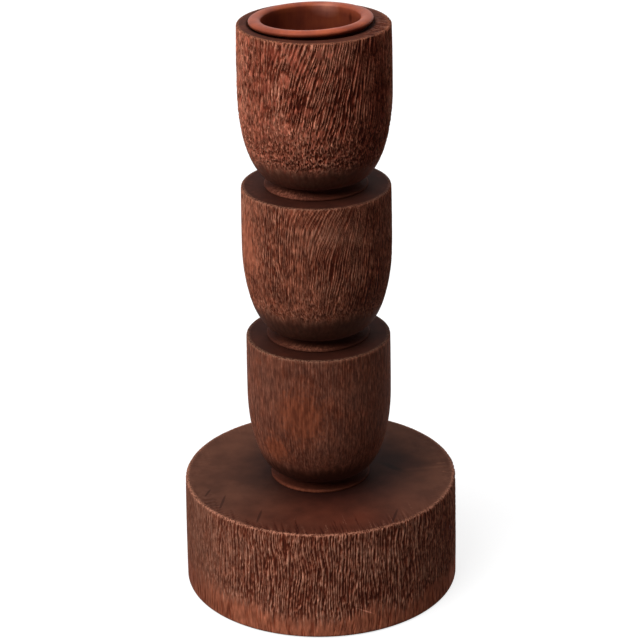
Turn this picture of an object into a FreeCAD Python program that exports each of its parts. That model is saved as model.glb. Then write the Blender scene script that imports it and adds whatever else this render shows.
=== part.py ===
"""Turned wooden candle stand: a drum base, three stacked cups and a loose candle cup in the top one."""
import FreeCAD, Part
import math
import os

from FreeCAD import Vector

# Sizes are in millimetres, +Z is up, and the origin is the middle of the pad's underside.

# Cork pad, glued into a recess in the underside of the base
pad_radius = 48.0
pad_thickness = 2.0
pad_proud = 0.4  # how far the pad stands below the wood
pad_gap = 0.3  # all round, between the pad and the wall of its recess

# Base drum, a little narrower at the top than at the foot
base_radius = 58.8
base_height = 47.8
base_draw_in = 0.6
base_edge_round = 0.9
base_foot_round = 0.6

# What the three cups share: a worn rim, a waist under the bowl and a rounded foot that seats on the block below
rim_round = 0.7
throat_radius = 18.0  # where the underside of the bowl ends
neck_radius = 16.5  # at the waist's deepest
foot_height = 2.0

# Lower cup
lower_cup_height = 65.4
lower_cup_radius = 30.5
lower_rim_draw_in = 0.2
lower_wall_height = 26.0  # from the rim down to where the bowl turns in
lower_waist_height = 2.2
lower_foot_radius = 21.2

# Middle cup
middle_cup_height = 66.2
middle_cup_radius = 31.1
middle_rim_draw_in = 0.3
middle_wall_height = 26.0
middle_waist_height = 2.2
middle_foot_radius = 21.6

# Top cup
top_cup_height = 67.9
top_cup_radius = 31.4
top_rim_draw_in = 0.4
top_wall_height = 28.0
top_waist_height = 1.9
top_foot_radius = 21.4

# Candle cup, a turned liner that hangs in the top cup by its rolled lip
candle_radius = 20.0
candle_well_depth = 20.0  # from the crest of the lip to the floor
candle_floor = 3.0
candle_wall = 2.2
candle_floor_fillet = 2.0
candle_foot_round = 1.0
candle_offset = -1.2  # along X: the bore isn't quite in the middle
lip_rise = 3.4  # the lip's crest, above the top cup's face
lip_round = 2.5
lip_tuck = 0.9  # how far the lip draws in again from its widest to its seat
lip_recess_depth = 1.0
lip_gap = 0.6
candle_cup_play = 0.3
candle_cup_end_gap = 0.5

# Dowels that join each block to the one below
dowel_radius = 6.0
dowel_reach = 18.0  # into each of the two blocks
dowel_chamfer = 1.0
dowel_glue_gap = 0.1
dowel_end_gap = 1.0

# Heights of the faces on which the blocks seat
base_top = pad_proud + base_height
lower_top = base_top + lower_cup_height
middle_top = lower_top + middle_cup_height
stem_top = middle_top + top_cup_height

# Heights and radii of the candle cup
lip_crest = stem_top + lip_rise
lip_middle = lip_crest - lip_round
lip_seat = stem_top - lip_recess_depth
lip_radius = candle_radius + 2 * lip_round
candle_floor_top = lip_crest - candle_well_depth
candle_foot = candle_floor_top - candle_floor
sleeve_radius = candle_radius + candle_wall


def at(radius, height):
    """Point of an outline, which is drawn in the XZ plane and turned about Z."""
    return Vector(radius, 0, height)


def line(start, end):
    return Part.LineSegment(start, end).toShape()


def arc(start, middle, end):
    return Part.Arc(start, middle, end).toShape()


def quarter_round(start, end, corner):
    """Round from start to end, tangent to the two sides that meet at the corner."""
    reach = (start - corner).Length
    centre = start + end - corner
    towards_corner = (corner - centre).normalize()
    return arc(start, centre + towards_corner * reach, end)


def upright_arc(upright, end):
    """Arc that leaves the point upright along Z and bends over to the end."""
    across = end.x - upright.x
    radius = (end - upright).Length ** 2 / (2 * across)
    centre = upright + at(radius, 0)
    middle = centre + ((upright - centre) + (end - centre)).normalize() * abs(radius)
    return arc(upright, middle, end)


def quarter_ellipse(upright, level, spans=12):
    """Quarter of an ellipse that is along Z at the point upright and across it at the point level."""
    points = []
    for step in range(spans + 1):
        turn = math.pi / 2 * step / spans
        across = level.x + (upright.x - level.x) * math.cos(turn)
        up = upright.z + (level.z - upright.z) * math.sin(turn)
        points.append(at(across, up))
    curve = Part.BSplineCurve()
    curve.interpolate(
        Points=points,
        InitialTangent=at(0, level.z - upright.z),
        FinalTangent=at(level.x - upright.x, 0),
    )
    return curve.toShape()


def turned(edges):
    """Solid that a closed outline makes when it is turned about Z."""
    outline = Part.Wire(Part.sortEdges(edges)[0])
    solid = Part.Face(outline).revolve(at(0, 0), at(0, 1), 360)
    return Part.makeSolid(solid) if solid.ShapeType == "Shell" else solid


def bore(radius, floor, mouth):
    """Solid that is cut away for a round hole from its floor up to its mouth."""
    return Part.makeCylinder(radius, mouth - floor, at(0, floor))


def dowel_hole(seat):
    """Hole for the dowel that passes through a seat, half in each of the two blocks."""
    reach = dowel_reach + dowel_end_gap
    return bore(dowel_radius + dowel_glue_gap, seat - reach, seat + reach)


def cork_pad():
    return bore(pad_radius, 0, pad_thickness)


def base():
    top_radius = base_radius - base_draw_in
    recess_radius = pad_radius + pad_gap
    foot_inner = at(base_radius - base_foot_round, pad_proud)
    foot_outer = at(base_radius, pad_proud + base_foot_round)
    edge_outer = at(top_radius, base_top - base_edge_round)
    edge_inner = at(top_radius - base_edge_round, base_top)
    outline = [
        line(at(0, pad_thickness), at(recess_radius, pad_thickness)),
        line(at(recess_radius, pad_thickness), at(recess_radius, pad_proud)),
        line(at(recess_radius, pad_proud), foot_inner),
        quarter_round(foot_inner, foot_outer, at(base_radius, pad_proud)),
        upright_arc(foot_outer, edge_outer),
        quarter_round(edge_outer, edge_inner, at(top_radius, base_top)),
        line(edge_inner, at(0, base_top)),
        line(at(0, base_top), at(0, pad_thickness)),
    ]
    return turned(outline).cut(dowel_hole(base_top))


def cup(foot, height, radius, rim_draw_in, wall_height, waist_height, foot_radius):
    """Cup blank: rim, bowl, waist and foot, from its foot up."""
    top = foot + height
    rim_radius = radius - rim_draw_in
    rim_inner = at(rim_radius - rim_round, top)
    rim_outer = at(rim_radius, top - rim_round)
    belly = at(radius, top - wall_height)
    bead_radius = foot_height / 2
    bead_centre = foot_radius - bead_radius
    foot_top = foot + foot_height
    throat = at(throat_radius, foot_top + waist_height)
    waist = at(neck_radius, foot_top + waist_height / 2)
    foot_inner = at(throat_radius, foot_top)
    outline = [
        line(at(0, foot), at(0, top)),
        line(at(0, top), rim_inner),
        quarter_round(rim_inner, rim_outer, at(rim_radius, top)),
        upright_arc(belly, rim_outer),
        quarter_ellipse(belly, throat),
        quarter_ellipse(waist, throat),
        quarter_ellipse(waist, foot_inner),
        line(foot_inner, at(bead_centre, foot_top)),
        arc(at(bead_centre, foot_top), at(foot_radius, foot + bead_radius), at(bead_centre, foot)),
        line(at(bead_centre, foot), at(0, foot)),
    ]
    return turned(outline)


def lower_cup():
    blank = cup(
        base_top,
        lower_cup_height,
        lower_cup_radius,
        lower_rim_draw_in,
        lower_wall_height,
        lower_waist_height,
        lower_foot_radius,
    )
    return blank.cut([dowel_hole(base_top), dowel_hole(lower_top)])


def middle_cup():
    blank = cup(
        lower_top,
        middle_cup_height,
        middle_cup_radius,
        middle_rim_draw_in,
        middle_wall_height,
        middle_waist_height,
        middle_foot_radius,
    )
    return blank.cut([dowel_hole(lower_top), dowel_hole(middle_top)])


def top_cup():
    blank = cup(
        middle_top,
        top_cup_height,
        top_cup_radius,
        top_rim_draw_in,
        top_wall_height,
        top_waist_height,
        top_foot_radius,
    )
    lip_recess = bore(lip_radius + lip_gap, lip_seat, lip_crest)
    sleeve_hole = bore(sleeve_radius + candle_cup_play, candle_foot - candle_cup_end_gap, lip_crest)
    off_centre = Vector(candle_offset, 0, 0)
    for hole in (lip_recess, sleeve_hole):
        hole.translate(off_centre)
    return blank.cut([dowel_hole(middle_top), lip_recess, sleeve_hole])


def candle_cup():
    wall_foot = at(candle_radius, candle_floor_top + candle_floor_fillet)
    floor_edge = at(candle_radius - candle_floor_fillet, candle_floor_top)
    lip_inner = at(candle_radius, lip_middle)
    lip_outer = at(lip_radius, lip_middle)
    seat_outer = at(lip_radius - lip_tuck, lip_seat)
    sleeve_foot = at(sleeve_radius, candle_foot + candle_foot_round)
    foot_edge = at(sleeve_radius - candle_foot_round, candle_foot)
    outline = [
        line(at(0, candle_foot), at(0, candle_floor_top)),
        line(at(0, candle_floor_top), floor_edge),
        quarter_round(floor_edge, wall_foot, at(candle_radius, candle_floor_top)),
        line(wall_foot, lip_inner),
        arc(lip_inner, at(candle_radius + lip_round, lip_crest), lip_outer),
        upright_arc(lip_outer, seat_outer),
        line(seat_outer, at(sleeve_radius, lip_seat)),
        line(at(sleeve_radius, lip_seat), sleeve_foot),
        quarter_round(sleeve_foot, foot_edge, at(sleeve_radius, candle_foot)),
        line(foot_edge, at(0, candle_foot)),
    ]
    liner = turned(outline)
    liner.translate(Vector(candle_offset, 0, 0))
    return liner


def dowel(seat):
    """Round dowel with chamfered ends, half below its seat and half above."""
    low, high = seat - dowel_reach, seat + dowel_reach
    tip = dowel_radius - dowel_chamfer
    corners = [
        at(0, low),
        at(tip, low),
        at(dowel_radius, low + dowel_chamfer),
        at(dowel_radius, high - dowel_chamfer),
        at(tip, high),
        at(0, high),
    ]
    return turned([line(start, end) for start, end in zip(corners, corners[1:] + corners[:1])])


pieces = {
    "cork_pad": cork_pad(),
    "base": base(),
    "lower_cup": lower_cup(),
    "middle_cup": middle_cup(),
    "top_cup": top_cup(),
    "candle_cup": candle_cup(),
    "lower_dowel": dowel(base_top),
    "middle_dowel": dowel(lower_top),
    "top_dowel": dowel(middle_top),
}

os.makedirs("parts", exist_ok=True)
for name, shape in pieces.items():
    shape.exportStep(f"parts/{name}.step")
    box = shape.BoundBox
    print(f"{name}: {len(shape.Solids)} solid, {shape.Volume / 1000:.1f} cm3, z {box.ZMin:.1f} to {box.ZMax:.1f}")
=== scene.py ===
import math

import bmesh
import bpy
from mathutils import Matrix, Vector, noise


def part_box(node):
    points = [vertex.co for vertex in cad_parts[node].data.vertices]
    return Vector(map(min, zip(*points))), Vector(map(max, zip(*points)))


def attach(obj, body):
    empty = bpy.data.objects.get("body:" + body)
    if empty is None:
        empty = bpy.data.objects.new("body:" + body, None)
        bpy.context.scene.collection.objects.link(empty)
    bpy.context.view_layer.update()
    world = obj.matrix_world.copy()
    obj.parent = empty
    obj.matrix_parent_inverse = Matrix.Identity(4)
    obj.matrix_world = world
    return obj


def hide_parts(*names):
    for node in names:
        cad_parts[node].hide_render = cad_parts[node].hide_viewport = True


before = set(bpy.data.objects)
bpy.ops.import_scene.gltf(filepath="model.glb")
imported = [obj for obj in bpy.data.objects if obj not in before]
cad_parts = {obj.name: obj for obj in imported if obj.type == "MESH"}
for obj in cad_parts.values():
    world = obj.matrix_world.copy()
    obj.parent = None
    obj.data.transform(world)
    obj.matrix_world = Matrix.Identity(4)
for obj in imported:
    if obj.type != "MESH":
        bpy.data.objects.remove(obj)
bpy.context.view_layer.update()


# Cork pad under the base: a punched disc of pressed cork granules, glued into a shallow turned recess.
# It is rigid and plain, so the solid stays as it is and only gets its finish.
MM = 0.001
granule = 1.6 * MM
granule_height = 0.2 * MM
pad_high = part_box("cork_pad")[1]


def new_material(name, roughness):
    material = bpy.data.materials.new(name)
    material.use_nodes = True
    shader = material.node_tree.nodes["Principled BSDF"]
    shader.inputs["Roughness"].default_value = roughness
    return material, material.node_tree, shader


def srgb(red, green, blue):
    """Colour given as it looks on a screen, 0 to 255, in the linear values that a shader takes."""
    channels = [c / 255 for c in (red, green, blue)]
    linear = [c / 12.92 if c <= 0.04045 else ((c + 0.055) / 1.055) ** 2.4 for c in channels]
    return (*linear, 1)


def add_node(tree, kind, **values):
    """Adds a shader node. Values that name an input are set on it, and the others on the node itself."""
    node = tree.nodes.new(kind)
    for key, value in values.items():
        if key in node.inputs:
            node.inputs[key].default_value = value
        else:
            setattr(node, key, value)
    return node


def ramp(tree, factor, stops):
    """Colour that the factor picks from a row of (place, colour) stops."""
    node = tree.nodes.new("ShaderNodeValToRGB")
    elements = node.color_ramp.elements
    while len(elements) < len(stops):
        elements.new(0.5)
    for element, (place, colour) in zip(elements, stops):
        element.position = place
        element.color = colour
    tree.links.new(factor, node.inputs["Fac"])
    return node.outputs["Color"]


def grain_coordinates(tree, across, along):
    """Object coordinates in which a pattern of unit size is that wide and, along the grain, that long."""
    place = add_node(tree, "ShaderNodeTexCoord")
    mapping = add_node(tree, "ShaderNodeMapping", Scale=(1 / across, 1 / across, 1 / along))
    tree.links.new(place.outputs["Object"], mapping.inputs["Vector"])
    return mapping.outputs["Vector"]


def grain_texture(tree, across, along, detail, **values):
    """Noise drawn out along the grain, as a node."""
    texture = add_node(tree, "ShaderNodeTexNoise", Scale=1.0, Detail=detail, **values)
    tree.links.new(grain_coordinates(tree, across, along), texture.inputs["Vector"])
    return texture


def raise_surface(tree, shader, height, strength, distance):
    bump = add_node(tree, "ShaderNodeBump", Strength=strength, Distance=distance)
    tree.links.new(height, bump.inputs["Height"])
    tree.links.new(bump.outputs["Normal"], shader.inputs["Normal"])


def cork_material():
    material, tree, shader = new_material("pressed_cork", 0.9)
    cells = add_node(tree, "ShaderNodeTexVoronoi", Scale=1.0)
    tree.links.new(grain_coordinates(tree, granule, granule), cells.inputs["Vector"])
    stops = [(0.0, srgb(196, 150, 98)), (0.55, srgb(170, 120, 74)), (1.0, srgb(92, 58, 36))]
    tree.links.new(ramp(tree, cells.outputs["Distance"], stops), shader.inputs["Base Color"])
    raise_surface(tree, shader, cells.outputs["Distance"], 0.5, granule_height)
    return material


def finish_node(name, material):
    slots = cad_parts[name].data.materials
    slots.clear()
    slots.append(material)


finish_node("cork_pad", cork_material())


# Dowels between the blocks: plain beech rod, chamfered at both ends and glued in. They can't be seen
# when the stand is together, and keep their solids with a finish of their own.
beech_streak_grain = (0.8 * MM, 9 * MM)  # width across the grain and length along it


def beech_material():
    material, tree, shader = new_material("beech_dowel", 0.6)
    streaks = grain_texture(tree, *beech_streak_grain, 3.0)
    stops = [(0.3, srgb(190, 152, 110)), (0.7, srgb(222, 188, 146))]
    tree.links.new(ramp(tree, streaks.outputs["Fac"], stops), shader.inputs["Base Color"])
    return material


beech = beech_material()
for dowel_name in ("lower_dowel", "middle_dowel", "top_dowel"):
    finish_node(dowel_name, beech)


# Base drum: one solid block of reddish-brown hardwood. It is turned, its side is gouged and wire-brushed
# along the grain until only thin hard fibres stand, and its top is sanded smooth, stained dark and worn
# pale at the rim.
base_low, base_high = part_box("base")
base_middle = (base_low.z + base_high.z) / 2
base_radius = base_high.x
base_draw_in = 0.6 * MM  # how much narrower the drum is at the rim than at the foot
base_rim = base_radius - base_draw_in
base_edge = 0.9 * MM
base_foot_edge = 0.6 * MM
recess_gap = 0.3 * MM
base_columns = 1140
base_row = 0.72 * MM
rim_row = 1.0 * MM
top_rings = (40 * MM, 25 * MM)  # radii of the rings of points on the plain part of the top
merge_distance = 0.001 * MM

# Sizes of what is seen in the wood, those of the grain as a width across it and a length along it.
fibre_grain = (0.42 * MM, 2.8 * MM)
chip_grain = (0.55 * MM, 1.3 * MM)
streak_grain = (0.55 * MM, 2.2 * MM)
band_grain = (1.4 * MM, 5 * MM)
cloud_grain = (7 * MM, 12 * MM)
crack_grain = (0.5 * MM, 9 * MM)
furrow_drift = (3.2 * MM, 20 * MM)
streak_relief = 0.12 * MM
wave_size = 9 * MM  # of the waves in which the fibres wander
bend_span = 50 * MM  # rise in which a fibre with a bend of 1 goes as far sideways
blotch = 9 * MM  # in the stain of the tops
crumb = 0.7 * MM  # size of the flakes in which the finish wears off an edge

# The strokes on the side of the drum and across the rim of its top.
base_furrows = 285
base_groove = 0.6 * MM  # depth of the deepest furrows
base_wander = 0.5 * MM
base_lean = math.radians(5)
base_lean_size = 22 * MM
base_drift_size = 16 * MM
bare_foot = 8.5 * MM  # mean height up to which the strokes leave the side smooth
bare_foot_drift = 3 * MM
bare_foot_rise = 4 * MM  # how much higher it is on bare_foot_side
stroke_start = 5 * MM  # how unevenly the strokes start
stroke_start_grain = (0.6 * MM, 30 * MM)
stroke_fade_below = 2.5 * MM
stroke_fade_above = 3.5 * MM
rim_band = 12 * MM  # width of the band of the top that brush strokes reach
stroke_turn = math.radians(-11)  # from the Y axis
stroke_grain = (0.6 * MM, 14 * MM)
stroke_end_grain = (0.8 * MM, 30 * MM)
stroke_depth = 0.25 * MM
top_middle = 20 * MM  # radius of the middle of the top, which the lower cup hides
side_end = 0.45 * MM  # how far below the top the side's finish ends and the top's begins
top_start = 0.05 * MM  # how far below the top its own finish is full
worn_edge = 1.9 * MM  # width of the pale worn edge of the top
worn_edge_drift = 0.7 * MM
worn_edge_full = 0.5 * MM
worn_edge_drop = 1.1 * MM  # how far down the side it reaches
worn_edge_full_drop = 0.4 * MM
top_mark_depth = 4 * MM

# What the mesh tells the material about each point, as shares from 0 to 1.
layer_names = ("gap_depth_and_shade", "smooth_stain_and_highlight", "worn_pale", "warm_stain", "brushed")

# Sides of the drum, each an azimuth and its reach in degrees.
sheltered_side = (-78, 56)
bare_foot_side = (-52, 34)
brushed_rim_side = (-8, 80)
deep_stroke_side = (-35, 50)
worn_edge_side = (-25, 70)
# Side of the drum on which shade, away from the key light, is painted into the furrows' darkness.
painted_shade_side = (68, 38)
red_side = (-85, 25)
red_top_side = (5, 75)


def smooth_step(low, high, value):
    share = min(1, max(0, (value - low) / (high - low)))
    return share * share * (3 - 2 * share)


def quarter(start, end, steps, corner):
    """Points of the quarter round that takes off the corner between start and end, without its start."""
    centre = (start[0] + end[0] - corner[0], start[1] + end[1] - corner[1])
    points = []
    for step in range(1, steps + 1):
        turn = math.pi / 2 * step / steps
        along, across = math.cos(turn), math.sin(turn)
        radius = centre[0] + (start[0] - centre[0]) * along + (end[0] - centre[0]) * across
        height = centre[1] + (start[1] - centre[1]) * along + (end[1] - centre[1]) * across
        points.append((radius, height))
    return points


def evenly(start, end, spacing):
    """Points from start to end, about that far apart, without the start."""
    count = max(1, round(math.dist(start, end) / spacing))
    return [
        (start[0] + (end[0] - start[0]) * step / count, start[1] + (end[1] - start[1]) * step / count)
        for step in range(1, count + 1)
    ]


def turned_block(outline, columns, wedges=20):
    """Closed bmesh of an outline of (radius, height) points, turned as one wedge and then its copies."""
    block = bmesh.new()
    points = [block.verts.new((radius, 0, height)) for radius, height in outline]
    edges = [block.edges.new(pair) for pair in zip(points, points[1:])]
    bmesh.ops.spin(
        block,
        geom=points + edges,
        cent=(0, 0, 0),
        axis=(0, 0, 1),
        angle=2 * math.pi / wedges,
        steps=columns // wedges,
    )
    bmesh.ops.spin(
        block,
        geom=block.verts[:] + block.edges[:] + block.faces[:],
        cent=(0, 0, 0),
        axis=(0, 0, 1),
        angle=2 * math.pi * (wedges - 1) / wedges,
        steps=wedges - 1,
        use_duplicate=True,
    )
    bmesh.ops.remove_doubles(block, verts=block.verts, dist=merge_distance)
    bmesh.ops.recalc_face_normals(block, faces=block.faces)
    block.normal_update()
    return block


def azimuth(place):
    """Angle round the stem in degrees: 0 at the front, positive towards the right."""
    return math.degrees(math.atan2(place.x, -place.y))


def near(angle, middle, reach):
    """1 at that middle azimuth, falling to 0 at reach degrees from it on both sides."""
    away = abs((angle - middle + 180) % 360 - 180)
    return smooth_step(reach, 0, away)


def drift(place, size, seed):
    """Slow change over the block, from about -1 to 1, in parts of that size."""
    return noise.noise(place / size + seed) * 1.6


def sheared(place, lean, middle, wander, seed, bend=0):
    """The place turned about Z, so that a fibre there leans, wanders and, above the middle, bends away."""
    radius = max(math.hypot(place.x, place.y), MM)
    waves = wander * noise.noise(place / wave_size + seed)
    above = place.z - middle
    bent = bend * max(0, above) ** 2 / bend_span
    turn = (waves - above * math.tan(lean) - bent) / radius
    return Matrix.Rotation(turn, 3, "Z") @ place


def grain_noise(grain, across, along, seed):
    """Noise drawn out along the grain, about -1 to 1, for streaks of about twice that width and length."""
    return noise.noise(Vector((grain.x / across, grain.y / across, grain.z / along)) + seed)


def furrows(grain, count, seed):
    """That many furrows round the block, which draw together and apart: -1 on a ridge, 1 in a furrow."""
    phase = count * azimuth(grain) / 360 + 1.3 * grain_noise(grain, *furrow_drift, seed)
    return math.cos(2 * math.pi * phase)


def gouged(grain, count, seed, ragged=1):
    """Rows of furrows laid over each other and broken up by the fibres: about -1 on a crest, 1 in a gap."""
    rows = furrows(grain, count, seed)
    rows += furrows(grain, round(1.17 * count), seed * 2)
    rows += 0.7 * furrows(grain, round(1.5 * count), seed * 4)
    broken = 0.9 * grain_noise(grain, *fibre_grain, seed)
    broken += 0.6 * grain_noise(grain, *chip_grain, seed * 3)
    return 0.45 * rows + ragged * broken


def carved_layers(block):
    return [block.verts.layers.float.new(name) for name in layer_names]


def finish_block(block, name, material, replaced, body):
    mesh = bpy.data.meshes.new(name)
    for face in block.faces:
        face.smooth = True
    block.to_mesh(mesh)
    block.free()
    mesh.materials.append(material)
    piece = bpy.data.objects.new(name, mesh)
    bpy.context.scene.collection.objects.link(piece)
    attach(piece, body)
    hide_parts(replaced)


def grey(value):
    return (value, value, value, 1)


def mixed(tree, factor, first, second, blend_type="MIX"):
    """Mix of two colours, each a colour or a socket, by a factor that is a number or a socket."""
    mix = add_node(tree, "ShaderNodeMix", data_type="RGBA", blend_type=blend_type)
    for socket, value in (("Factor", factor), ("A", first), ("B", second)):
        inlet = next(s for s in mix.inputs if s.name == socket and s.enabled)
        if isinstance(value, (tuple, float)):
            inlet.default_value = value
        else:
            tree.links.new(value, inlet)
    return next(s for s in mix.outputs if s.enabled)


def shaded(tree, colour, factor, stops, share=1.0):
    """The colour multiplied by what the factor picks from the stops, by that share."""
    return mixed(tree, share, colour, ramp(tree, factor, stops), "MULTIPLY")


def marked(tree, colour, middle, half_size, turn, shade, softness):
    """The colour made lighter or darker in an oval mark, which is turned by degrees about X, Y and Z."""
    place = add_node(tree, "ShaderNodeTexCoord")
    unit = add_node(tree, "ShaderNodeMapping", vector_type="TEXTURE", Location=middle, Scale=half_size)
    unit.inputs["Rotation"].default_value = [math.radians(degrees) for degrees in turn]
    tree.links.new(place.outputs["Object"], unit.inputs["Vector"])
    ball = add_node(tree, "ShaderNodeTexGradient", gradient_type="SPHERICAL")
    tree.links.new(unit.outputs["Vector"], ball.inputs["Vector"])
    return shaded(tree, colour, ball.outputs["Fac"], [(0.0, grey(1.0)), (softness, (*shade, 1))])


def carved_material(title, crest, warm, top, rosy, edge, marks=(), scratches=()):
    """Brushed hardwood. The mesh says how deep in the grain each point is, with painted shade added to
    that, how stained it is, less where a highlight is painted, and how worn it is.
    """
    material, tree, shader = new_material(title, 0.75)
    shader.inputs["Specular IOR Level"].default_value = 0.08
    depth, stained, worn, patch, brushed = [
        add_node(tree, "ShaderNodeAttribute", attribute_name=name).outputs["Fac"]
        for name in layer_names
    ]

    clouds = grain_texture(tree, *cloud_grain, 2.0)
    blush = tuple((a + b) / 2 for a, b in zip(crest, warm))
    wood = ramp(tree, clouds.outputs["Fac"], [(0.45, crest), (0.75, blush)])
    wood = mixed(tree, patch, wood, warm)
    broad = grain_texture(tree, *band_grain, 1.0)
    wood = shaded(tree, wood, broad.outputs["Fac"], [(0.3, (0.62, 0.58, 0.58, 1)), (0.7, grey(1.36))])
    streaks = grain_texture(tree, *streak_grain, 3.0, Roughness=0.65)
    shades = [(0.34, (0.22, 0.17, 0.16, 1)), (0.5, grey(1.0)), (0.66, (1.8, 1.86, 1.9, 1))]
    wood = shaded(tree, wood, streaks.outputs["Fac"], shades, brushed)

    blotches = grain_texture(tree, blotch, blotch, 4.0)
    cloudy = [(0.35, (0.72, 0.7, 0.7, 1)), (0.65, grey(1.1))]
    stain = shaded(tree, mixed(tree, patch, top, rosy), blotches.outputs["Fac"], cloudy)
    # The marks on the stain hold painted shade and a painted shadow round the stem, as well as scratches.
    for mark in marks:
        stain = marked(tree, stain, *mark)
    wood = mixed(tree, stained, wood, stain)

    # Darker the deeper a point lies: stain soaked into the brushed gaps, with painted shade in the grooves
    # and painted shade on the side away from the key light, which the mesh adds to the same share.
    soaked = [
        (0.0, grey(1.0)),
        (0.4, (0.62, 0.48, 0.43, 1)),
        (0.75, (0.26, 0.13, 0.1, 1)),
        (1.0, (0.1, 0.035, 0.025, 1)),
    ]
    wood = shaded(tree, wood, depth, soaked)

    crumbs = grain_texture(tree, crumb, crumb, 3.0)
    wear = add_node(tree, "ShaderNodeMath", operation="MULTIPLY")
    flaked = ramp(tree, crumbs.outputs["Fac"], [(0.4, grey(0.0)), (0.6, grey(1.0))])
    tree.links.new(flaked, wear.inputs[0])
    tree.links.new(worn, wear.inputs[1])
    wood = mixed(tree, wear.outputs["Value"], wood, edge)
    for mark in scratches:
        wood = marked(tree, wood, *mark)
    tree.links.new(wood, shader.inputs["Base Color"])
    raise_surface(tree, shader, streaks.outputs["Fac"], 0.3, streak_relief)
    return material


def base_outline():
    """Outline of the drum from the middle of the recess under it, up the side, to the middle of the top."""
    recess = pad_high.x + recess_gap
    foot_in = (base_radius - base_foot_edge, base_low.z)
    foot_out = (base_radius, base_low.z + base_foot_edge)
    rim_out = (base_rim, base_high.z - base_edge)
    rim_in = (base_rim - base_edge, base_high.z)
    side = []
    for _, height in evenly(foot_out, rim_out, base_row):
        rise = (height - foot_out[1]) / (rim_out[1] - foot_out[1])
        side.append((base_radius - base_draw_in * rise * rise, height))
    points = [(0, pad_high.z), (recess, pad_high.z), (recess, base_low.z), foot_in]
    points += quarter(foot_in, foot_out, 2, (base_radius, base_low.z))
    points += side
    points += quarter(rim_out, rim_in, 3, (base_rim, base_high.z))
    points += evenly(rim_in, (rim_in[0] - rim_band, base_high.z), rim_row)
    points += [(radius, base_high.z) for radius in top_rings]
    points.append((0, base_high.z))
    return points


def base_side(place, slow, seed):
    """How deep the place lies between the fibres, 0 to 1, and how far it is above the bare foot."""
    angle = azimuth(place)
    lean = base_lean * drift(place, base_lean_size, seed * 2)
    grain = sheared(place, lean, base_middle, base_wander, seed)
    bare = bare_foot + bare_foot_drift * slow + bare_foot_rise * near(angle, *bare_foot_side)
    bare += stroke_start * grain_noise(grain, *stroke_start_grain, seed * 5)
    begun = smooth_step(bare - stroke_fade_below, bare + stroke_fade_above, place.z)
    gap = smooth_step(-0.7, 0.4, gouged(grain, base_furrows, seed) + 0.2 * slow)
    gap *= 0.9 * begun * (1 - 0.5 * near(angle, *sheltered_side))
    cracks = (1 - begun) * smooth_step(0.15, 0.5, grain_noise(grain, *crack_grain, seed * 3))
    return max(gap, 0.5 * cracks), begun


def rim_strokes(place, from_rim):
    """How far a brush stroke cuts into the top's rim there, and how far it leaves it raised, 0 to 1."""
    turned = Matrix.Rotation(stroke_turn, 3, "Z") @ place
    width, length = stroke_grain
    stroke = noise.noise(Vector((turned.x / width, turned.y / length, 4)))
    width, length = stroke_end_grain
    reach = rim_band * (0.5 + 1.1 * noise.noise(Vector((turned.x / width, turned.y / length, 9))))
    reached = smooth_step(reach, 0.3 * reach, from_rim)
    reached *= 0.2 + 0.8 * near(azimuth(place), *brushed_rim_side)
    return reached * smooth_step(-0.05, 0.22, stroke), reached * smooth_step(-0.05, -0.35, stroke)


def carve_base(block):
    seed = Vector((3.1, 7.7, 1.3))
    gap_and_shade_layer, stain_and_highlight_layer, worn_layer, warm_layer, brushed_layer = carved_layers(block)
    for vert in block.verts:
        place = vert.co.copy()
        angle = azimuth(place)
        radius = math.hypot(place.x, place.y)
        from_rim = base_rim - radius
        sheltered = near(angle, *sheltered_side)
        top_warmth = near(angle, *red_top_side)
        if place.z < base_low.z + base_foot_edge / 3 or from_rim > rim_band + base_edge:
            vert[stain_and_highlight_layer] = 1.0 if place.z > base_middle else 0.0
            vert[warm_layer] = 0.8 * top_warmth if radius > top_middle else 0.3
            vert[brushed_layer] = 0.2
            continue
        slow = drift(place, base_drift_size, seed)
        below = base_high.z - place.z
        on_top = smooth_step(side_end, top_start, below)
        on_side = 1 - on_top
        gap, begun = base_side(place, slow, seed)
        gap *= on_side
        scored, raised = [on_top * stroke for stroke in rim_strokes(place, from_rim)]
        vert.co -= vert.normal * (base_groove * gap + stroke_depth * scored)

        soaked = (0.6 + 0.25 * near(angle, *deep_stroke_side)) * scored
        # This share of darkness also carries painted shade on the drum's right side, away from the key
        # light.
        vert[gap_and_shade_layer] = min(1, max(gap, soaked) + 0.18 * near(angle, *painted_shade_side) * on_side)
        vert[stain_and_highlight_layer] = max(on_top, 0.65 * sheltered)
        vert[brushed_layer] = 0.62 * (0.3 + 0.7 * begun) * (1 - 0.4 * sheltered)
        edge_band = smooth_step(worn_edge + worn_edge_drift * slow, worn_edge_full, from_rim)
        edge_band *= smooth_step(worn_edge_drop, worn_edge_full_drop, below)
        paled = 0.55 + 0.45 * near(angle, *worn_edge_side)
        vert[worn_layer] = min(1, max(paled * edge_band * (1 - gap), 0.25 * raised))
        side_warmth = 1 - begun + 0.4 * near(angle, *red_side)
        top_warmth *= 0.8 + 0.3 * slow
        vert[warm_layer] = min(1, max(0, side_warmth + (top_warmth - side_warmth) * on_top))


def top_mark(x, y, length, width, turn, shade, softness):
    """A mark on the base's top, by its middle and half sizes in millimetres and its turn in degrees."""
    middle = (x * MM, y * MM, base_high.z)
    return middle, (length * MM, width * MM, top_mark_depth), (0, 0, turn), shade, softness


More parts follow.
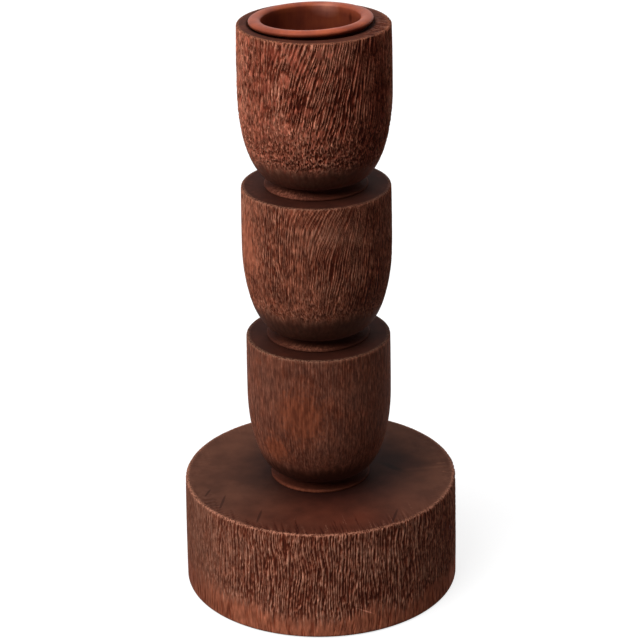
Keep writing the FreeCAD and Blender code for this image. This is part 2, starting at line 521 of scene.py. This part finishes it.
def base_marks():
    """Darker round the stem, partly stain and partly painted shade under the cups, a painted shadow of the
    stem beside it, then pale and dark scratches.
    """
    dark, paler, pale = (0.5, 0.46, 0.46), (1.25, 1.3, 1.3), (1.7, 1.8, 1.8)
    return [
        # Stain and painted shade round the stem, then the painted shadow that the stem casts on its right.
        top_mark(4, 3, 47, 45, 0, (0.3, 0.25, 0.27), 0.42),
        top_mark(34, 8, 17, 9, -30, (0.6, 0.56, 0.6), 0.6),
        top_mark(31, 2.5, 9, 2.2, -45, (0.5, 0.46, 0.5), 0.6),
        top_mark(45, 1, 15, 1.4, 10, paler, 0.6),
        top_mark(52.4, 5.5, 2.6, 0.6, 5, pale, 0.4),
        top_mark(54.1, -3.1, 2.2, 0.5, -12, pale, 0.4),
        top_mark(-41.4, -28, 8, 0.7, 81, dark, 0.4),
        top_mark(-25.7, -40.8, 7, 0.7, 80, dark, 0.4),
        top_mark(-47.9, -19.2, 4, 0.6, 72, dark, 0.4),
        top_mark(30.5, -42.5, 8, 0.7, 77, dark, 0.4),
    ]


def side_scratch():
    """A fresh pale scratch low on the drum's front."""
    middle = (17.6 * MM, -55.8 * MM, 11.2 * MM)
    half_size = (5 * MM, 2 * MM, 0.4 * MM)
    return middle, half_size, (0, 27, 17.5), (2.2, 2.6, 2.8), 0.5


def make_base():
    block = turned_block(base_outline(), base_columns)
    carve_base(block)
    material = carved_material(
        "base_wood",
        crest=srgb(190, 134, 110),
        warm=srgb(174, 101, 74),
        top=srgb(82, 49, 36),
        rosy=srgb(78, 33, 20),
        edge=srgb(196, 132, 106),
        marks=base_marks(),
        scratches=[side_scratch()],
    )
    finish_block(block, "carved_base", material, "base", "stand")


make_base()


# The three cups of the stem: blocks of the same wood turned to one pattern, with straight walls, a round
# bottom, a waist and a flared foot that stands on the face below. Only the walls and the upper part of the
# bowl are brushed. The top faces and the feet are smooth and stained dark.
throat_radius = 18 * MM
neck_radius = 16.5 * MM
foot_height = 2 * MM
foot_bead = 0.6 * MM  # radius of the bead round the foot
bead_steps = 5
rim_edge = 0.7 * MM
cup_columns = 840
wall_row = 0.8 * MM
bowl_row = 0.55 * MM
waist_row = 0.9 * MM
foot_row = 0.8 * MM
cup_rim_band = 6.5 * MM  # width of the band of the top face that has a fine mesh
top_row = 1.1 * MM
plain_rows = 3  # below the carving only every third row is kept
carving_end = 3.5 * MM  # half the height over which the carving fades out
chisel_reach = 5 * MM  # how far in from the wall the chisel marks on a top face go
chisel_depth = 0.5 * MM
smooth_depth = 25 * MM  # deeper than any bore
bend_depth = 24 * MM  # below the top, where the fibres begin to bend away
combed_depth = 24 * MM  # down to which a combed side is fully combed
combed_end = 36 * MM  # where the combing has faded out
cup_drift_size = 12 * MM
cup_side_end = 0.4 * MM
carving_end_drift = 2.5 * MM
stipple_drift = 6 * MM  # how unevenly the dots begin
stipple_fade_above = 5 * MM
stipple_fade_below = 8 * MM
chisel_fade = 1 * MM  # half the width over which the chisel marks fade out
chisel_size = 0.7 * MM
cup_worn_edge = 1.5 * MM
cup_worn_edge_drift = 0.5 * MM
cup_worn_edge_full = 0.6 * MM
cup_worn_edge_drop = 1.2 * MM
cup_worn_edge_full_drop = 0.5 * MM
cup_worn_side = (-30, 80)
blush_size = 5 * MM  # of the redder clouds on the walls
fleck_grain = (1.7 * MM, 2.8 * MM)
short_grain = (0.42 * MM, 2.4 * MM)
short_chip_grain = (0.8 * MM, 4 * MM)
dot_grain = (0.42 * MM, 0.66 * MM)
wide_dot_grain = (0.8 * MM, 1.2 * MM)
patch_fray = 1.3 * MM
patch_fine_fray = 0.6 * MM
foot_speck = 0.55 * MM


def quarter_oval(upright, level, spacing):
    """Points of a quarter ellipse from the point upright, where it is vertical, to the point level."""
    across, up = upright[0] - level[0], upright[1] - level[1]
    count = max(3, round(math.hypot(across, up) * 1.1 / spacing))
    points = []
    for step in range(1, count + 1):
        turn = math.pi / 2 * step / count
        points.append((level[0] + across * math.cos(turn), upright[1] - up * math.sin(turn)))
    return points


def bead_round(middle, foot):
    """Points of the half round of the foot's bead, from its top to where it meets the face below."""
    points = []
    for step in range(1, bead_steps + 1):
        turn = math.pi * step / bead_steps
        points.append((middle + foot_bead * math.sin(turn), foot + foot_bead * (1 + math.cos(turn))))
    return points


def cup_outline(low, high, style, opening):
    """Outline of a cup from the middle of its top, down the outside, to the middle of its foot."""
    radius = high.x
    rim = radius - style["draw_in"]
    top, foot = high.z, low.z
    foot_top = foot + foot_height
    rim_in = (rim - rim_edge, top)
    rim_out = (rim, top - rim_edge)
    belly = (radius, top - style["wall_height"])
    throat = (throat_radius, foot_top + style["waist_height"])
    waist = (neck_radius, foot_top + style["waist_height"] / 2)
    bead_middle = style["foot_radius"] - foot_bead
    bead_top = (bead_middle, foot + 2 * foot_bead)
    band_start = (max(opening[-1][0], rim_in[0] - cup_rim_band), top)
    points = list(opening)
    if band_start != points[-1]:
        points.append(band_start)
    points += evenly(band_start, rim_in, top_row)
    points += quarter(rim_in, rim_out, 3, (rim, top))
    for _, height in evenly(rim_out, belly, wall_row):
        rise = (height - belly[1]) / style["wall_height"]
        points.append((radius - style["draw_in"] * rise * rise, height))
    plain_below = top - style["carved_to"] - carving_end
    bowl = quarter_oval(belly, throat, bowl_row)
    for step, point in enumerate(bowl, 1):
        if point[1] > plain_below or (len(bowl) - step) % plain_rows == 0:
            points.append(point)
    points += list(reversed(quarter_oval(waist, throat, waist_row)[:-1])) + [waist]
    points += quarter_oval(waist, bead_top, foot_row)
    points += bead_round(bead_middle, foot)
    points.append((0, foot))
    return points


def foot_shine(place, above, style, seed):
    """Painted highlight on a cup's foot, 0 to 1, made by taking off its stain: strongest near the foot's
    outer edge on its lit front-left, and speckled.
    """
    shine = style["foot_shine"]
    foot_edge = style["foot_radius"]
    width = shine["width"]
    radius = math.hypot(place.x, place.y)
    painted_highlight = shine["strength"] * near(azimuth(place), shine["middle"], shine["reach"])
    painted_highlight *= smooth_step(foot_edge - width, foot_edge - 0.4 * width, radius)
    painted_highlight *= 1 - 0.45 * smooth_step(foot_edge - foot_bead, foot_edge, radius)
    painted_highlight *= smooth_step(shine["height"], 0.5 * shine["height"], above)
    speckle = smooth_step(-0.25, 0.3, noise.noise(place / foot_speck + seed))
    return painted_highlight * (1 - shine["speckled"] + shine["speckled"] * speckle)


def cup_grain(place, angle, top, style, seed):
    """The place as it lies among the cup's fibres, which lean, wander and bend in parts of the round."""
    lean = sum(turn * near(angle, middle, reach) for middle, reach, turn in style["leans"])
    middle, reach, bend = style["bend"]
    bend *= near(angle, middle, reach)
    return sheared(place, math.radians(lean), top - bend_depth, style["wander"], seed, bend)


def cup_gap(grain, below, angle, slow, combed, style, seed):
    """How deep the place lies between the fibres, 0 to 1: furrows on the wall, and dots low on the bowl."""
    wider = style["gap_width"]
    rows = gouged(grain, style["furrows"], seed, 1 - 0.65 * combed)
    coarse = smooth_step(-0.3, 0.35, rows + 0.3 * slow + wider)
    short = 0.8 * grain_noise(grain, *short_grain, seed)
    short += 0.4 * grain_noise(grain, *short_chip_grain, seed * 2)
    short += 0.45 * furrows(grain, round(1.35 * style["furrows"]), seed * 6)
    fine = smooth_step(-0.2, 0.3, short + wider)
    finer = max(near(angle, middle, reach) for middle, reach in style["finer"])
    gap = coarse + (fine - coarse) * finer

    dots = grain_noise(grain, *dot_grain, seed)
    dots += 0.4 * grain_noise(grain, *wide_dot_grain, seed * 2)
    stipple = 0.9 * smooth_step(-0.15, 0.25, dots + 0.3 * wider)
    start = style["stipple_from"] + stipple_drift * slow
    low_down = smooth_step(start - stipple_fade_above, start + stipple_fade_below, below)
    return gap + (stipple - gap) * low_down


def patch_cover(place, grain, angle, wall, patch, seed):
    """How far a patch that the brush has spared covers the place, 0 to 1, with a frayed outline."""
    middle, height, wide, tall = patch
    across = math.radians(angle - middle) * wall / wide
    up = (place.z - height) / tall
    frayed = 0.5 * noise.noise(place / patch_fray + seed)
    frayed += 0.4 * noise.noise(grain / patch_fine_fray + seed)
    return smooth_step(1.3, 0.5, math.hypot(across, up) + frayed)


def carve_cup(block, low, high, style):
    seed = Vector(style["seed"])
    gap_and_shade_layer, stain_and_highlight_layer, worn_layer, warm_layer, brushed_layer = carved_layers(block)
    top, wall = high.z, high.x
    rim = wall - style["draw_in"]
    waist_top = low.z + foot_height + style["waist_height"]
    for vert in block.verts:
        place = vert.co.copy()
        radius = math.hypot(place.x, place.y)
        below = top - place.z
        # The feet are stained, with a painted highlight on their lit front-left that takes the stain off
        # and shows the warmer wood.
        if place.z < waist_top:
            vert[stain_and_highlight_layer] = 1 - foot_shine(place, place.z - low.z, style, seed)
            vert[warm_layer] = 1 - 0.6 * style["foot_shine"]["speckled"]
            continue
        if radius < wall - chisel_reach and below < smooth_depth:
            vert[stain_and_highlight_layer] = 1.0
            continue
        angle = azimuth(place)
        slow = drift(place, cup_drift_size, seed)
        on_top = smooth_step(cup_side_end, top_start, below)
        on_wall = 1 - on_top
        end = style["carved_to"] - carving_end_drift * noise.noise(Vector((angle / 4, 1, 2)) + seed)
        carved = smooth_step(end + carving_end, end - carving_end, below)
        combed = near(angle, *style["combed"]) * smooth_step(combed_end, combed_depth, below)
        grain = cup_grain(place, angle, top, style, seed)
        gap = cup_gap(grain, below, angle, slow, combed, style, seed)

        warm = max(0, 0.6 * drift(place, blush_size, seed * 4) - 0.2)
        brushed = carved * style["brushed"] * (1 - 0.35 * combed)
        fleck = smooth_step(0.2, 0.4, grain_noise(grain, *fleck_grain, seed * 3))
        fleck *= style["flecks"] * (1 - 0.6 * combed)
        gap *= 1 - 0.65 * fleck
        brushed *= 1 - 0.4 * fleck
        warm = max(warm, fleck)
        for *patch, bareness in style["patches"]:
            cover = patch_cover(place, grain, angle, wall, patch, seed)
            gap *= 1 - bareness * cover
            brushed *= 1 - 0.7 * cover
            warm = max(warm, cover)
        gap *= style["contrast"] * carved * on_wall * (0.85 + 0.15 * slow)

        from_rim = rim - radius
        chisel = on_top * max((near(angle, *side) for side in style["chiselled"]), default=0)
        chisel *= smooth_step(chisel_reach + chisel_fade, chisel_reach - chisel_fade, from_rim)
        cut = chisel * smooth_step(-0.15, 0.35, noise.noise(place / chisel_size + seed))
        vert.co -= vert.normal * style["depth"] * gap
        vert.co.z -= chisel_depth * (cut + 0.5 * chisel)

        # Painted shade on the side of the cup away from the key light, added to the depth in the grain.
        middle, reach, strength = style["shaded_side"]
        shade = strength * near(angle, middle, reach) * (1 + 0.3 * slow) * on_wall
        edge_band = smooth_step(cup_worn_edge + cup_worn_edge_drift * slow, cup_worn_edge_full, from_rim)
        edge_band *= smooth_step(cup_worn_edge_drop, cup_worn_edge_full_drop, below)
        paled = 0.6 + 0.4 * near(angle, *cup_worn_side)
        vert[gap_and_shade_layer] = min(1, max(gap, cut) + shade)
        vert[stain_and_highlight_layer] = max(on_top * (1 - 0.12 * chisel), 0.9 * (1 - carved))
        vert[worn_layer] = style["rim_wear"] * edge_band * (1 - gap) * paled
        vert[warm_layer] = min(1, warm)
        vert[brushed_layer] = brushed


def make_cup(node, style, opening, reshape=None):
    """Turns, carves and finishes one cup, whose top starts from the outline of its opening."""
    low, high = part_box(node)
    block = turned_block(cup_outline(low, high, style, opening), cup_columns)
    carve_cup(block, low, high, style)
    if reshape:
        reshape(block)
    material = carved_material(f"{node}_wood", **style["colours"])
    finish_block(block, f"carved_{node}", material, node, "stand")


def closed_top(node):
    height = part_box(node)[1].z
    return [(0, height), (neck_radius, height)]


# Lower cup: the smoothest of the three, with shallow brushed lines and a large bare patch in front.
# In each cup's values an azimuth comes first and its reach in degrees second. A lean adds its degrees, and
# a patch has its height above the table, half width, half height and how bare it is.
make_cup(
    "lower_cup",
    {
        "wall_height": 26 * MM,
        "waist_height": 2.2 * MM,
        "foot_radius": 21.2 * MM,
        "draw_in": 0.2 * MM,
        "seed": (11.3, 4.1, 8.2),
        "furrows": 150,
        "gap_width": 0.0,
        "depth": 0.25 * MM,
        "contrast": 0.42,
        "brushed": 0.5,
        "flecks": 0.0,
        "wander": 0.3 * MM,
        "leans": [(160, 60, 6)],
        "bend": (30, 60, 0.1),
        "combed": (-40, 50),
        "finer": [(-60, 50), (100, 40)],
        "shaded_side": (90, 30, 0.1),
        "carved_to": 52 * MM,
        "stipple_from": 46 * MM,
        "patches": [
            (-14, 88 * MM, 10 * MM, 12 * MM, 0.5),
            (-40, 70 * MM, 7 * MM, 6 * MM, 0.4),
        ],
        "chiselled": [],
        "rim_wear": 0.5,
        "foot_shine": {
            "middle": -22,
            "reach": 62,
            "strength": 0.8,
            "speckled": 0.1,
            "width": 1.5 * MM,
            "height": 1.6 * MM,
        },
        "colours": {
            "crest": srgb(128, 80, 63),
            "warm": srgb(142, 78, 54),
            "top": srgb(52, 22, 13),
            "rosy": srgb(74, 34, 22),
            "edge": srgb(168, 120, 96),
        },
    },
    closed_top("lower_cup"),
)


# Middle cup: brushed harder, with fibres that bend over to the right near the rim in front.
make_cup(
    "middle_cup",
    {
        "wall_height": 26 * MM,
        "waist_height": 2.2 * MM,
        "foot_radius": 21.6 * MM,
        "draw_in": 0.3 * MM,
        "seed": (2.9, 15.4, 5.5),
        "furrows": 172,
        "gap_width": 0.08,
        "depth": 0.45 * MM,
        "contrast": 0.95,
        "brushed": 0.8,
        "flecks": 0.4,
        "wander": 0.5 * MM,
        "leans": [(15, 55, 9), (170, 50, -8)],
        "bend": (16, 50, 0.5),
        "combed": (20, 48),
        "finer": [(-35, 40), (120, 50)],
        "shaded_side": (66, 42, 0.25),
        "carved_to": 49.5 * MM,
        "stipple_from": 40 * MM,
        "patches": [(-66, 158 * MM, 7 * MM, 14 * MM, 0.6)],
        "chiselled": [],
        "rim_wear": 0.65,
        "foot_shine": {
            "middle": -16,
            "reach": 52,
            "strength": 0.5,
            "speckled": 0.8,
            "width": 4.5 * MM,
            "height": 6 * MM,
        },
        "colours": {
            "crest": srgb(170, 113, 90),
            "warm": srgb(190, 114, 86),
            "top": srgb(55, 24, 15),
            "rosy": srgb(78, 38, 26),
            "edge": srgb(172, 116, 92),
        },
    },
    closed_top("middle_cup"),
)


# Top cup: the deepest carving and the palest crests, with small warm patches that the brush has spared.
# It is bored from above for the candle cup, a little off the middle, with a shallow recess for the lip, and
# the right of its top face is roughened with a chisel.
candle_low, candle_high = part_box("candle_cup")
candle_middle = (candle_low.x + candle_high.x) / 2
lip_radius = (candle_high.x - candle_low.x) / 2
lip_recess_radius = lip_radius + 0.6 * MM
lip_recess_depth = 1.0 * MM
sleeve_radius = 22.2 * MM
bore_radius = sleeve_radius + 0.3 * MM
bore_floor = candle_low.z - 0.5 * MM
below_bore = 0.5 * MM  # height between the bore's floor and what stays on the stem's axis


def bored_top():
    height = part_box("top_cup")[1].z
    seat = height - lip_recess_depth
    return [
        (0, bore_floor),
        (bore_radius, bore_floor),
        (bore_radius, seat),
        (lip_recess_radius, seat),
        (lip_recess_radius, height),
    ]


def shift_bore(block):
    """Moves the bore and the recess off the middle, and the face round them less and less."""
    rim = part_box("top_cup")[1].x - rim_edge
    for vert in block.verts:
        radius = math.hypot(vert.co.x, vert.co.y)
        if vert.co.z > bore_floor - below_bore and radius < rim:
            vert.co.x += candle_middle * min(1, (rim - radius) / (rim - lip_recess_radius))


make_cup(
    "top_cup",
    {
        "wall_height": 28 * MM,
        "waist_height": 1.9 * MM,
        "foot_radius": 21.4 * MM,
        "draw_in": 0.4 * MM,
        "seed": (6.6, 1.2, 12.8),
        "furrows": 150,
        "gap_width": 0.2,
        "depth": 0.85 * MM,
        "contrast": 1.0,
        "brushed": 1.0,
        "flecks": 0.9,
        "wander": 0.6 * MM,
        "leans": [(-4, 50, 17), (48, 40, 9), (150, 50, -10)],
        "bend": (20, 50, 0.12),
        "combed": (36, 60),
        "finer": [(-66, 40), (-150, 40)],
        "shaded_side": (54, 36, 0.45),
        "carved_to": 53.5 * MM,
        "stipple_from": 38 * MM,
        "patches": [
            (-31, 242.5 * MM, 4 * MM, 3.5 * MM, 0.3),
            (-15, 241.5 * MM, 2.5 * MM, 4.5 * MM, 0.3),
            (3.4, 243.2 * MM, 1.7 * MM, 1.6 * MM, 0.75),
            (11.3, 243 * MM, 1.5 * MM, 1.5 * MM, 0.75),
            (-20.6, 233.2 * MM, 1.6 * MM, 2 * MM, 0.6),
            (-5.7, 219.9 * MM, 1.6 * MM, 2.2 * MM, 0.6),
            (-38, 228 * MM, 2.4 * MM, 2.4 * MM, 0.3),
            (-9, 238 * MM, 1.2 * MM, 3 * MM, 0.4),
        ],
        "chiselled": [(75, 55)],
        "rim_wear": 0.75,
        "foot_shine": {
            "middle": -36,
            "reach": 50,
            "strength": 0.6,
            "speckled": 0.9,
            "width": 5 * MM,
            "height": 6 * MM,
        },
        "colours": {
            "crest": srgb(208, 138, 111),
            "warm": srgb(196, 111, 87),
            "top": srgb(76, 38, 27),
            "rosy": srgb(90, 44, 30),
            "edge": srgb(186, 116, 86),
        },
    },
    bored_top(),
    shift_bore,
)


# Candle cup: a liner turned from the same wood, sanded smooth, stained orange brown and waxed. It hangs in
# the top cup by its rolled lip, loose and a little out of level, and holds the candle.
candle_radius = 20 * MM
lip_round = 2.5 * MM  # half the width of the lip
lip_tuck = 1.4 * MM  # how far the lip's underside draws in to its seat
lip_half_height = 1.3 * MM
lip_steps = 20
lip_middle = 249.1 * MM
lip_slope = math.tan(math.radians(1.7))
lip_high_side = math.radians(52)  # azimuth at which the loose cup stands highest
well_depth = 20 * MM
well_fillet = 2 * MM
candle_foot_round = 1 * MM
well_rings = (8 * MM, 15 * MM)  # radii of the rings of points on the well's floor
well_row = 1.6 * MM
sleeve_row = 3 * MM
candle_columns = 320
candle_streak_grain = (0.9 * MM, 12 * MM)
candle_cloud_grain = (8 * MM, 10 * MM)
candle_relief = 0.1 * MM
speck_spacing = 7 * MM
darkening_start = 0.6 * MM  # above the lip's middle
darkening_full = 2.5 * MM  # below it
level_below = 6 * MM  # how far below the lip's middle the cup is still level
tilted_above = 2 * MM  # how far below it the tilt is full


def candle_cup_outline():
    """Outline of the candle cup from the middle of its well, over the lip, to the middle of its foot."""
    foot = candle_low.z
    floor = candle_high.z - well_depth
    seat = lip_middle - lip_half_height
    wall_foot = (candle_radius, floor + well_fillet)
    floor_edge = (candle_radius - well_fillet, floor)
    points = [(0, floor)] + [(radius, floor) for radius in well_rings] + [floor_edge]
    points += quarter(floor_edge, wall_foot, 5, (candle_radius, floor))
    points += evenly(wall_foot, (candle_radius, lip_middle), well_row)
    for step in range(1, lip_steps + 1):
        turn = math.pi * step / lip_steps
        radius = lip_radius - lip_round * (1 + math.cos(turn))
        points.append((radius, lip_middle + lip_half_height * math.sin(turn)))
    points += quarter(points[-1], (lip_radius - lip_tuck, seat), 4, (lip_radius, seat))
    points.append((sleeve_radius, seat))
    points += evenly((sleeve_radius, seat), (sleeve_radius, foot + candle_foot_round), sleeve_row)
    points += quarter(points[-1], (sleeve_radius - candle_foot_round, foot), 3, (sleeve_radius, foot))
    points.append((0, foot))
    return points


def candle_cup_marks():
    """A painted highlight on the inner wall, a crack beside it, and a painted highlight on the lip's front.
    """
    level = (0, 0, 0)
    painted_highlight = ((5.5 * MM, 19 * MM, 248 * MM), (8 * MM, 4 * MM, 4 * MM), level, (1.7, 2.8, 4.2), 0.8)
    crack = ((14.8 * MM, 12 * MM, 246 * MM), (1.3 * MM, 1.3 * MM, 2.4 * MM), level, (0.5, 0.42, 0.42), 0.6)
    painted_lip_highlight = ((4 * MM, -24 * MM, 250 * MM), (24 * MM, 9 * MM, 8 * MM), level, (1.35, 1.36, 1.38), 0.6)
    return [painted_highlight, crack, painted_lip_highlight]


def darkened_below_lip(tree, colour):
    """The colour darkened to about half below the lip's middle."""
    place = add_node(tree, "ShaderNodeTexCoord")
    split = add_node(tree, "ShaderNodeSeparateXYZ")
    tree.links.new(place.outputs["Object"], split.inputs["Vector"])
    rise = add_node(tree, "ShaderNodeMapRange")
    rise.inputs["From Min"].default_value = lip_middle - darkening_full
    rise.inputs["From Max"].default_value = lip_middle + darkening_start
    tree.links.new(split.outputs["Z"], rise.inputs["Value"])
    return shaded(tree, colour, rise.outputs["Result"], [(0.0, (0.5, 0.48, 0.5, 1)), (1.0, grey(1.0))])


def waxed_material():
    material, tree, shader = new_material("waxed_orange_brown", 0.45)
    shader.inputs["Specular IOR Level"].default_value = 0.12
    clouds = grain_texture(tree, *candle_cloud_grain, 3.0)
    stops = [(0.35, srgb(132, 62, 43)), (0.55, srgb(152, 73, 48)), (0.75, srgb(168, 84, 50))]
    wood = ramp(tree, clouds.outputs["Fac"], stops)
    streaks = grain_texture(tree, *candle_streak_grain, 4.0)
    wood = shaded(tree, wood, streaks.outputs["Fac"], [(0.3, (0.9, 0.88, 0.87, 1)), (0.6, grey(1.0))])
    specks = add_node(tree, "ShaderNodeTexVoronoi", Scale=1.0)
    tree.links.new(grain_coordinates(tree, speck_spacing, speck_spacing), specks.inputs["Vector"])
    wood = shaded(tree, wood, specks.outputs["Distance"], [(0.03, (0.2, 0.12, 0.1, 1)), (0.06, grey(1.0))])
    wood = darkened_below_lip(tree, wood)
    for mark in candle_cup_marks():
        wood = marked(tree, wood, *mark)
    tree.links.new(wood, shader.inputs["Base Color"])
    raise_surface(tree, shader, streaks.outputs["Fac"], 0.12, candle_relief)
    return material


def make_candle_cup():
    block = turned_block(candle_cup_outline(), candle_columns)
    for vert in block.verts:
        towards = vert.co.x * math.sin(lip_high_side) - vert.co.y * math.cos(lip_high_side)
        tilted = smooth_step(lip_middle - level_below, lip_middle - tilted_above, vert.co.z)
        vert.co.z += lip_slope * towards * tilted
    bmesh.ops.translate(block, verts=block.verts, vec=(candle_middle, 0, 0))
    material = waxed_material()
    finish_block(block, "waxed_candle_cup", material, "candle_cup", "candle_cup")


make_candle_cup()


# Studio: a pale floor that runs out of the picture, one large soft lamp high on the left in front, a wide
# one overhead, a weak card low on the left, and one behind that keeps the back from going black.
camera_focal = 2229.5  # in pixels of the picture
picture_size = 640
camera_place = Vector((0.767, -858.9, 489.84)) * MM
camera_pitch = math.radians(23.35)
camera_roll = -0.0147  # in radians
film_width = 36  # in millimetres, the unit of the camera's lens
floor_half_width = 6  # in metres, the unit of the scene


def place_camera():
    data = bpy.data.cameras.new("camera")
    data.sensor_width = film_width
    data.lens = film_width * camera_focal / picture_size
    camera = bpy.data.objects.new("camera", data)
    bpy.context.scene.collection.objects.link(camera)
    tilt = Matrix.Rotation(math.pi / 2 - camera_pitch, 4, "X")
    roll = Matrix.Rotation(camera_roll, 4, "Z")
    camera.matrix_world = Matrix.Translation(camera_place) @ tilt @ roll
    bpy.context.scene.camera = camera


def soft_lamp(name, bearing, elevation, spread, strength, glossy=True):
    """Even light from a far softbox, all angles in degrees. At a total of pi a colour shows as written."""
    data = bpy.data.lights.new(name, "SUN")
    data.angle = math.radians(spread)
    data.energy = strength
    lamp = bpy.data.objects.new(name, data)
    bpy.context.scene.collection.objects.link(lamp)
    around, up = math.radians(bearing), math.radians(elevation)
    away = Vector((math.cos(up) * math.sin(around), -math.cos(up) * math.cos(around), math.sin(up)))
    lamp.location = away
    lamp.visible_glossy = glossy
    lamp.rotation_euler = away.to_track_quat("Z", "Y").to_euler()


def seen_directly(tree):
    """1 for what the camera sees directly, in a reflection or through glass, 0 for scattered light."""
    path = add_node(tree, "ShaderNodeLightPath")
    total = path.outputs["Is Camera Ray"]
    for name in ("Is Glossy Ray", "Is Transmission Ray"):
        either = add_node(tree, "ShaderNodeMath", operation="MAXIMUM")
        tree.links.new(total, either.inputs[0])
        tree.links.new(path.outputs[name], either.inputs[1])
        total = either.outputs["Value"]
    return total


def floor_material():
    """White where the camera sees it, with the object's shadow, and dim in the light it throws back."""
    material, tree, shader = new_material("floor", 1.0)
    tree.nodes.remove(shader)
    paint = add_node(tree, "ShaderNodeBsdfDiffuse", Color=grey(0.32))
    glow = add_node(tree, "ShaderNodeEmission", Color=grey(1.0), Strength=0.78)
    dim = add_node(tree, "ShaderNodeBsdfDiffuse", Color=grey(0.04))
    seen = add_node(tree, "ShaderNodeAddShader")
    tree.links.new(paint.outputs["BSDF"], seen.inputs[0])
    tree.links.new(glow.outputs["Emission"], seen.inputs[1])
    mix = add_node(tree, "ShaderNodeMixShader")
    tree.links.new(seen_directly(tree), mix.inputs["Fac"])
    tree.links.new(dim.outputs["BSDF"], mix.inputs[1])
    tree.links.new(seen.outputs["Shader"], mix.inputs[2])
    tree.links.new(mix.outputs["Shader"], tree.nodes["Material Output"].inputs["Surface"])
    return material


def make_floor():
    sheet = bmesh.new()
    bmesh.ops.create_grid(sheet, x_segments=1, y_segments=1, size=floor_half_width)
    mesh = bpy.data.meshes.new("floor")
    sheet.to_mesh(mesh)
    sheet.free()
    mesh.materials.append(floor_material())
    floor = bpy.data.objects.new("floor", mesh)
    bpy.context.scene.collection.objects.link(floor)


def make_world():
    """A white background, and very little light from all round."""
    world = bpy.data.worlds.new("studio")
    bpy.context.scene.world = world
    world.use_nodes = True
    tree = world.node_tree
    tree.nodes.clear()
    output = add_node(tree, "ShaderNodeOutputWorld")
    fill = add_node(tree, "ShaderNodeBackground", Color=grey(1.0), Strength=0.025)
    white = add_node(tree, "ShaderNodeBackground", Color=grey(1.0), Strength=1.0)
    mix = add_node(tree, "ShaderNodeMixShader")
    tree.links.new(seen_directly(tree), mix.inputs["Fac"])
    tree.links.new(fill.outputs["Background"], mix.inputs[1])
    tree.links.new(white.outputs["Background"], mix.inputs[2])
    tree.links.new(mix.outputs["Shader"], output.inputs["Surface"])


place_camera()
make_floor()
make_world()
soft_lamp("key", bearing=-48, elevation=49, spread=44, strength=2.4)
soft_lamp("overhead", bearing=-30, elevation=86, spread=64, strength=1.25)
soft_lamp("side_card", bearing=-92, elevation=14, spread=60, strength=0.45)
soft_lamp("back_card", bearing=178, elevation=12, spread=50, strength=1.0, glossy=False)
bpy.context.scene.view_settings.view_transform = "Standard"
